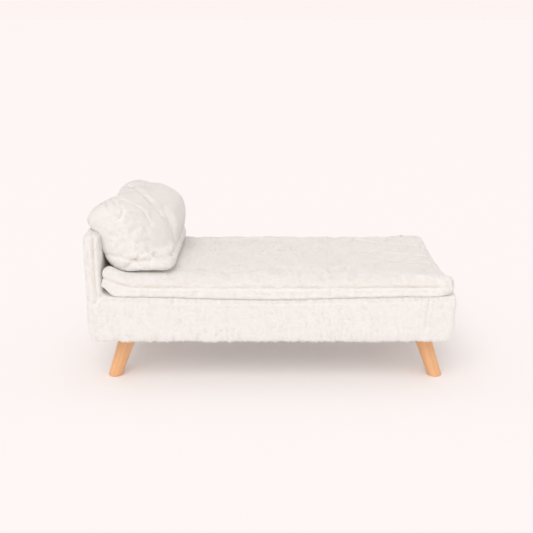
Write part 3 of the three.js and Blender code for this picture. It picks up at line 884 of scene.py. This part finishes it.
def mattress_plan(points, low, high):
    """Rounds the mattress seen from above: tight corners at the headboard, wide ones at the far end."""
    points = round_corners(points, low, (high[0] + 1, high[1], high[2]), (0, 1), HEAD_END_CORNER)
    return round_corners(points, (low[0] - 1, low[1], low[2]), high, (0, 1), FAR_END_CORNER)


def mattress_dents(points):
    """Shallow creases in the top, most of them near its far end."""
    dents = [
        ([(0.235, 0.15, 0.27), (0.30, 0.10, 0.27), (0.36, 0.09, 0.27), (0.40, 0.06, 0.27)], 8 * MM, 3.0 * MM),
        ([(0.25, 0.03, 0.27), (0.31, 0.00, 0.27), (0.385, -0.02, 0.27)], 7 * MM, 2.4 * MM),
        ([(0.29, -0.06, 0.27), (0.345, -0.085, 0.27), (0.39, -0.075, 0.27)], 7 * MM, 1.8 * MM),
        ([(0.02, -0.12, 0.27), (0.10, -0.145, 0.27), (0.17, -0.13, 0.27)], 14 * MM, 2.0 * MM),
        ([(-0.17, -0.13, 0.27), (-0.10, -0.15, 0.27), (-0.03, -0.12, 0.27)], 12 * MM, 1.8 * MM),
    ]
    total = np.zeros(len(points))
    for line, width, depth in dents:
        total += depth * bump(distance_to(points, smooth_curve(line, 20)), width)
    return total


def headboard_curl(points):
    """The end against the headboard curls up it, most at the two corners the pillow leaves free."""
    along = np.maximum(points[:, 0] - MATTRESS_LOW.x, 0)
    free = soft_step(np.abs(points[:, 1]), 155 * MM, 190 * MM)
    upper = soft_step(points[:, 2], MATTRESS_BOTTOM + 6 * MM, MATTRESS_BOTTOM + 22 * MM)
    low_curl = 22 * MM * bump(along, 17 * MM)
    crest = soft_step(points[:, 2], MATTRESS_TOP - 18 * MM, MATTRESS_TOP - 5 * MM)
    high_curl = (20 + 6 * crest) * MM * bump(along, 42 * MM)
    return free * (low_curl + (high_curl - low_curl) * upper)


def inside_edge(points):
    """How far each point is in from the edge of the mattress, seen from above."""
    middle = (MATTRESS_LOW + MATTRESS_HIGH) / 2
    half = (MATTRESS_HIGH - MATTRESS_LOW) / 2
    inside_x = half.x - np.abs(points[:, 0] - middle.x)
    inside_y = half.y - np.abs(points[:, 1] - middle.y)
    return np.maximum(np.minimum(inside_x, inside_y) - PILE, 0)


def mattress_side(points, width):
    """1 on the outside of the mattress, falling to 0 over width inwards."""
    return 1 - soft_step(inside_edge(points), 0, width)


def mattress_pile(mattress):
    def keep(places, normals):
        below = (normals[:, 2] < -0.95) & (places[:, 2] < MATTRESS_BOTTOM + 8 * MM)
        zip_low, zip_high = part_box("mattress_zip_tape")
        zip_slot = (
            (places[:, 1] > zip_low.y - 8 * MM)
            & (np.abs(places[:, 0]) < zip_high.x + 6 * MM)
            & (places[:, 2] > zip_low.z - 3 * MM)
            & (places[:, 2] < zip_high.z + 3 * MM)
        )
        return ~(below | zip_slot)

    brush = (0.5, -0.5, -0.3)
    return grow_pile("mattress_pile", mattress, "mattress", keep, brush, shag=0.4, seed=31)


# ---------- pillow ----------

# Section of the pillow across its length, as (x, z) in millimetres: it stands on the mattress,
# leans back on the headboard and folds over the headboard's top.
PILLOW_SECTION = [
    (-362, 276), (-300, 271), (-240, 274), (-228, 290), (-240, 316), (-247, 350), (-270, 390), (-318, 420),
    (-372, 431), (-411, 418), (-431, 398), (-427, 380), (-406, 368), (-394, 345), (-386, 312),
]
# (y, how far the section is drawn in towards its middle), in millimetres, from the front end to the rear.
PILLOW_STATIONS = [
    (-182, 72), (-181, 50), (-177, 25), (-168, 8), (-145, 1), (-110, 0), (-60, 0), (0, 0),
    (60, 0), (115, 0), (145, 2), (165, 8), (177, 24), (183, 50), (184, 72),
]
PILLOW_MIDDLE = (-325, 350)
# (y, how far the top of the pillow has drifted towards the sleeper) in millimetres.
PILLOW_DRIFT = [(-115, 0), (-65, 16), (-15, 26), (35, 28), (185, 30)]
PILLOW_BOTTOM = 271  # millimetres above the floor
PILLOW_AROUND = 72
PILLOW_ALONG = 60
# Upper and lower ends of the near edge's seam, where the cover is drawn in.
TOP_PINCH = (-0.355, -0.165, 0.396)
LOW_PINCH = (-0.320, -0.174, 0.301)
PINCH_DEPTH = 3 * MM


def pillow_form():
    """The bare pillow: a loft through its stations, with its near end sloped back from the seam."""
    sections = []
    middle = np.array(PILLOW_MIDDLE, dtype=float)
    for y, drawn_in in PILLOW_STATIONS:
        ring = np.array(PILLOW_SECTION, dtype=float)
        arms = ring - middle
        length = np.linalg.norm(arms, axis=1, keepdims=True)
        # Where it leans on the headboard or rests on the mattress, it stays full nearly to its ends.
        against_head = soft_step(-ring[:, :1], 350, 390) * soft_step(-ring[:, 1:], -385, -360)
        resting = soft_step(-ring[:, 1:], -300, -280)
        ring = middle + arms * (1 - drawn_in * (1 - 0.7 * against_head) * (1 - 0.6 * resting) / length)
        ring[:, 0] += np.interp(y, *zip(*PILLOW_DRIFT)) * soft_step(ring[:, 1], 290, 390)
        ring[:, 0] -= 9 * against_head[:, 0] * soft_step(-y, 120, 165)
        sections.append([(x * MM, y * MM, z * MM) for x, z in ring])
    pillow = loft("pillow", sections, PILLOW_AROUND, PILLOW_ALONG)

    points = points_of(pillow)
    seam_x = np.interp(points[:, 2], (LOW_PINCH[2], TOP_PINCH[2]), (LOW_PINCH[0], TOP_PINCH[0]))
    near_end = soft_step(-points[:, 1], 20 * MM, 150 * MM)
    above_lip = soft_step(points[:, 2], 296 * MM, 322 * MM)
    beyond = np.maximum(points[:, 0] - seam_x, 0)
    flatter = 1 - 0.45 * soft_step(points[:, 2], 385 * MM, 425 * MM)
    points[:, 1] += 1.15 * beyond**2 / (beyond + 25 * MM) * flatter * near_end * above_lip
    move_points(pillow, points)
    remesh_and_smooth(pillow, PILLOW_VOXEL, 8)
    return pillow


def make_pillow():
    pillow = pillow_form()
    points = points_of(pillow)
    pins = 1 - soft_step(points[:, 2], PILLOW_BOTTOM * MM, (PILLOW_BOTTOM + 4) * MM)
    back = (points[:, 0] < HEADBOARD_FACE + 16 * MM) & (points[:, 2] < COVER_HIGH.z + 16 * MM)
    pins = np.maximum(pins, back)
    sewn_edges = pillow_seams()[:3]
    for line, _, _ in sewn_edges:
        pins = np.maximum(pins, bump(distance_to(points, onto(pillow, line)), 4 * MM))
    inflate(pillow, slack=0.02, pins=pins, cap=9 * MM)
    subdivide(pillow)

    seams = [(onto(pillow, line), width, depth) for line, width, depth in pillow_seams()]
    points, normals = points_of(pillow), normals_of(pillow)
    free = soft_step(points[:, 2], (PILLOW_BOTTOM + 1) * MM, (PILLOW_BOTTOM + 13) * MM)
    outward = fur_relief(points, 41, deep=0.5) + 1.2 * MM * noise(points, 70 * MM, 48)
    outward -= grooves(points, seams)
    # Tight seams and folds get painted shade in the fur's colour, and shorter pile.
    mark_creases(pillow, creases(points, seams))
    for centre in (TOP_PINCH, LOW_PINCH):
        outward -= PINCH_DEPTH * bump(np.linalg.norm(points - np.array(centre), axis=1), 8 * MM)
    move_points(pillow, points + normals * (outward * free)[:, None])
    finish_fur(pillow, "pillow")
    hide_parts("pillow_cover", "pillow_filling")
    return pillow


def pillow_seams():
    """The pillow's sewn edge, then the folds pressed into it, as (line, width, depth)."""
    corner_edge = [TOP_PINCH, (-0.340, -0.172, 0.363), (-0.327, -0.174, 0.334), LOW_PINCH]
    low_edge = [LOW_PINCH, (-0.276, -0.164, 0.302), (-0.243, -0.145, 0.303), (-0.228, -0.120, 0.304)]
    long_edge = [(-0.228, -0.120, 0.304), (-0.229, 0.0, 0.304), (-0.229, 0.150, 0.304)]
    upper_fold = [(-0.361, 0.080, 0.427), (-0.338, 0.010, 0.430)]
    upper_fold += [(-0.304, -0.055, 0.415), (-0.272, -0.070, 0.385)]
    lower_fold = [(-0.366, -0.100, 0.430), (-0.340, -0.124, 0.422)]
    lower_fold += [(-0.318, -0.124, 0.402), (-0.298, -0.120, 0.372)]
    rear_dip = [(-0.330, 0.070, 0.430), (-0.322, 0.120, 0.430), (-0.320, 0.175, 0.428)]
    dip = [(-0.405, -0.045, 0.430), (-0.375, -0.030, 0.438), (-0.350, -0.030, 0.435)]
    near_finger = [TOP_PINCH, (-0.350, -0.156, 0.410), (-0.360, -0.150, 0.420), (-0.376, -0.110, 0.430)]
    far_finger = [(-0.361, -0.170, 0.404), (-0.372, -0.168, 0.415)]
    far_finger += [(-0.381, -0.150, 0.425), (-0.390, -0.105, 0.427)]
    drapes = [
        [(-0.300, -0.020, 0.405), (-0.272, -0.040, 0.365), (-0.256, -0.055, 0.320)],
        [(-0.318, -0.128, 0.375), (-0.300, -0.138, 0.345), (-0.284, -0.146, 0.318)],
    ]
    left_edge = [(-0.392, -0.155, 0.322), (-0.372, -0.174, 0.316), (-0.345, -0.178, 0.308), LOW_PINCH]
    tucks = [(-0.300, -0.172, 0.318), (-0.306, -0.176, 0.288), (-0.340, -0.178, 0.285)]
    folds = [(corner_edge, 6 * MM, 1.6 * MM), (low_edge, 5 * MM, 4.5 * MM), (long_edge, 6 * MM, 3.0 * MM)]
    folds += [(left_edge, 5 * MM, 2.4 * MM), (dip, 14 * MM, 3.0 * MM), (rear_dip, 26 * MM, 7.0 * MM)]
    folds += [(upper_fold, 9 * MM, 6.0 * MM), (lower_fold, 6 * MM, 3.4 * MM)]
    folds += [(finger, 4 * MM, 3.0 * MM) for finger in (near_finger, far_finger)]
    folds += [(drape, 9 * MM, 1.8 * MM) for drape in drapes]
    folds += [([LOW_PINCH, end], 4.5 * MM, 2.0 * MM) for end in tucks]
    return folds


def pillow_pile(pillow):
    def keep(places, normals):
        return ~((normals[:, 2] < -0.7) & (places[:, 2] < MATTRESS_TOP + 8 * MM))

    brush = (0.3, -0.4, -0.6)
    return grow_pile("pillow_pile", pillow, "pillow", keep, brush, shag=0.25, seed=51)


# ---------- legs ----------

LEG_SIDES = 64
LEG_RINGS = 12
LEG_EASE = 2 * MM  # rounding at the foot


def make_leg(name, shift):
    """A splayed turned leg: round and tapered, sheared so that its foot and top stay level."""
    low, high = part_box(f"leg_{name}")
    mesh_points = np.array([v.co for v in frame["nodes"][f"leg_{name}"].data.vertices])
    foot = mesh_points[mesh_points[:, 2] < low.z + 3 * MM]
    top = mesh_points[mesh_points[:, 2] > high.z - 1 * MM]
    foot_middle = (foot.min(0) + foot.max(0)) / 2
    top_middle = (top.min(0) + top.max(0)) / 2
    foot_radius = (foot[:, 0].max() - foot[:, 0].min()) / 2
    top_radius = (top[:, 0].max() - top[:, 0].min()) / 2
    height = high.z - low.z
    spread = top_radius - foot_radius
    profile = [(0, foot_radius - LEG_EASE), (0.25 * LEG_EASE, foot_radius - 0.35 * LEG_EASE)]
    profile += [(LEG_EASE, foot_radius)]
    profile += [(height * k / LEG_RINGS, foot_radius + spread * k / LEG_RINGS) for k in range(1, LEG_RINGS)]
    profile += [(height - 0.5 * MM, top_radius), (height, top_radius - 0.5 * MM)]
    points, straight = [], []
    for z, radius in profile:
        middle = foot_middle + (top_middle - foot_middle) * (z / height)
        for k in range(LEG_SIDES):
            turn = math.tau * k / LEG_SIDES
            reach = (radius * math.cos(turn), radius * math.sin(turn))
            points.append((middle[0] + reach[0], middle[1] + reach[1], low.z + z))
            straight.append((*reach, z))
    leg = mesh_object(f"turned_leg_{name}", points, ring_faces(LEG_SIDES, len(profile)))
    grain = leg.data.attributes.new("grain_place", "FLOAT_VECTOR", "POINT")
    grain.data.foreach_set("vector", np.array(straight, dtype=np.float32).ravel())
    shade_smooth(leg)
    leg.data.polygons[-1].use_smooth = False
    leg.data.polygons[-2].use_smooth = False
    leg.data.materials.append(beech(name, shift))
    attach(leg, "base")
    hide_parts(f"leg_{name}")


# ---------- parts kept from the frame ----------

def soft_material(name, colour, scale, relief):
    """An open soft material: foam cells or matted fibre."""
    material, tree, shader = principled(name, colour, roughness=0.95)
    shader.inputs["Specular IOR Level"].default_value = 0.1
    cells = add_noise(tree, object_coordinates(tree), scale, detail=3)
    ramp = mix_colours(tree, cells.outputs["Fac"], tuple(0.88 * c for c in colour), colour)
    tree.links.new(ramp.outputs["Color"], shader.inputs["Base Color"])
    add_bump(tree, shader, cells.outputs["Fac"], strength=0.5, distance=relief)
    return material


def metal_material(name, colour, roughness):
    """Plated metal with faint handling marks."""
    material, tree, shader = principled(name, colour, roughness, metallic=1.0)
    marks = add_noise(tree, object_coordinates(tree), scale=260, detail=4)
    ramp = mix_colours(tree, marks.outputs["Fac"], tuple(0.86 * c for c in colour), colour)
    tree.links.new(ramp.outputs["Color"], shader.inputs["Base Color"])
    add_bump(tree, shader, marks.outputs["Fac"], strength=0.08, distance=0.2 * MM)
    return material


def zip_tape_material():
    """Woven tape with a fine rib."""
    material, tree, shader = principled("zip_tape", (0.80, 0.77, 0.72), roughness=0.8)
    ribs = tree.nodes.new("ShaderNodeTexWave")
    ribs.inputs["Scale"].default_value = 420
    tree.links.new(object_coordinates(tree), ribs.inputs["Vector"])
    ramp = mix_colours(tree, ribs.outputs["Fac"], (0.70, 0.67, 0.62), (0.82, 0.79, 0.74))
    tree.links.new(ramp.outputs["Color"], shader.inputs["Base Color"])
    add_bump(tree, shader, ribs.outputs["Fac"], strength=0.6, distance=0.4 * MM)
    return material


def finish_kept_parts():
    """A node material for every frame part that stays in sight or inside."""
    looks = {
        "frame_pine": wood_material("pine", *PINE_TONES, roughness=0.7, place=along_x, shift=0.0),
        "plywood": wood_material("plywood", *PLYWOOD_TONES, roughness=0.7, place=along_x, shift=0.2),
        "zinc_steel": metal_material("zinc_steel", (0.66, 0.67, 0.68), roughness=0.35),
        "foam": soft_material("foam", (0.80, 0.76, 0.62), scale=500, relief=0.6 * MM),
        "fibre_filling": soft_material("fibre_filling", (0.86, 0.85, 0.83), scale=220, relief=1.0 * MM),
        "dust_cloth": soft_material("dust_cloth", (0.84, 0.81, 0.77), scale=900, relief=0.3 * MM),
        "zip_tape": zip_tape_material(),
        "zip_metal": metal_material("zip_metal", (0.74, 0.73, 0.70), roughness=0.28),
        "cream_fur": FUR_BACKING,
        "oiled_beech": beech("spare", 0.0),
    }
    for part in frame["record"]["subparts"]:
        node = frame["nodes"][part["node"]]
        node.data.materials.clear()
        node.data.materials.append(looks[part["material_slot"]])


# ---------- build ----------

make_camera()
make_studio()
FUR_BACKING = fur_backing_material()
STRAND_MATERIALS = strand_materials()
finish_kept_parts()
for index, corner in enumerate(("front_left", "front_right", "rear_left", "rear_right")):
    make_leg(corner, GRAIN_SHIFT * index)
base_pile(make_base())
mattress_pile(make_mattress())
pillow_pile(make_pillow())
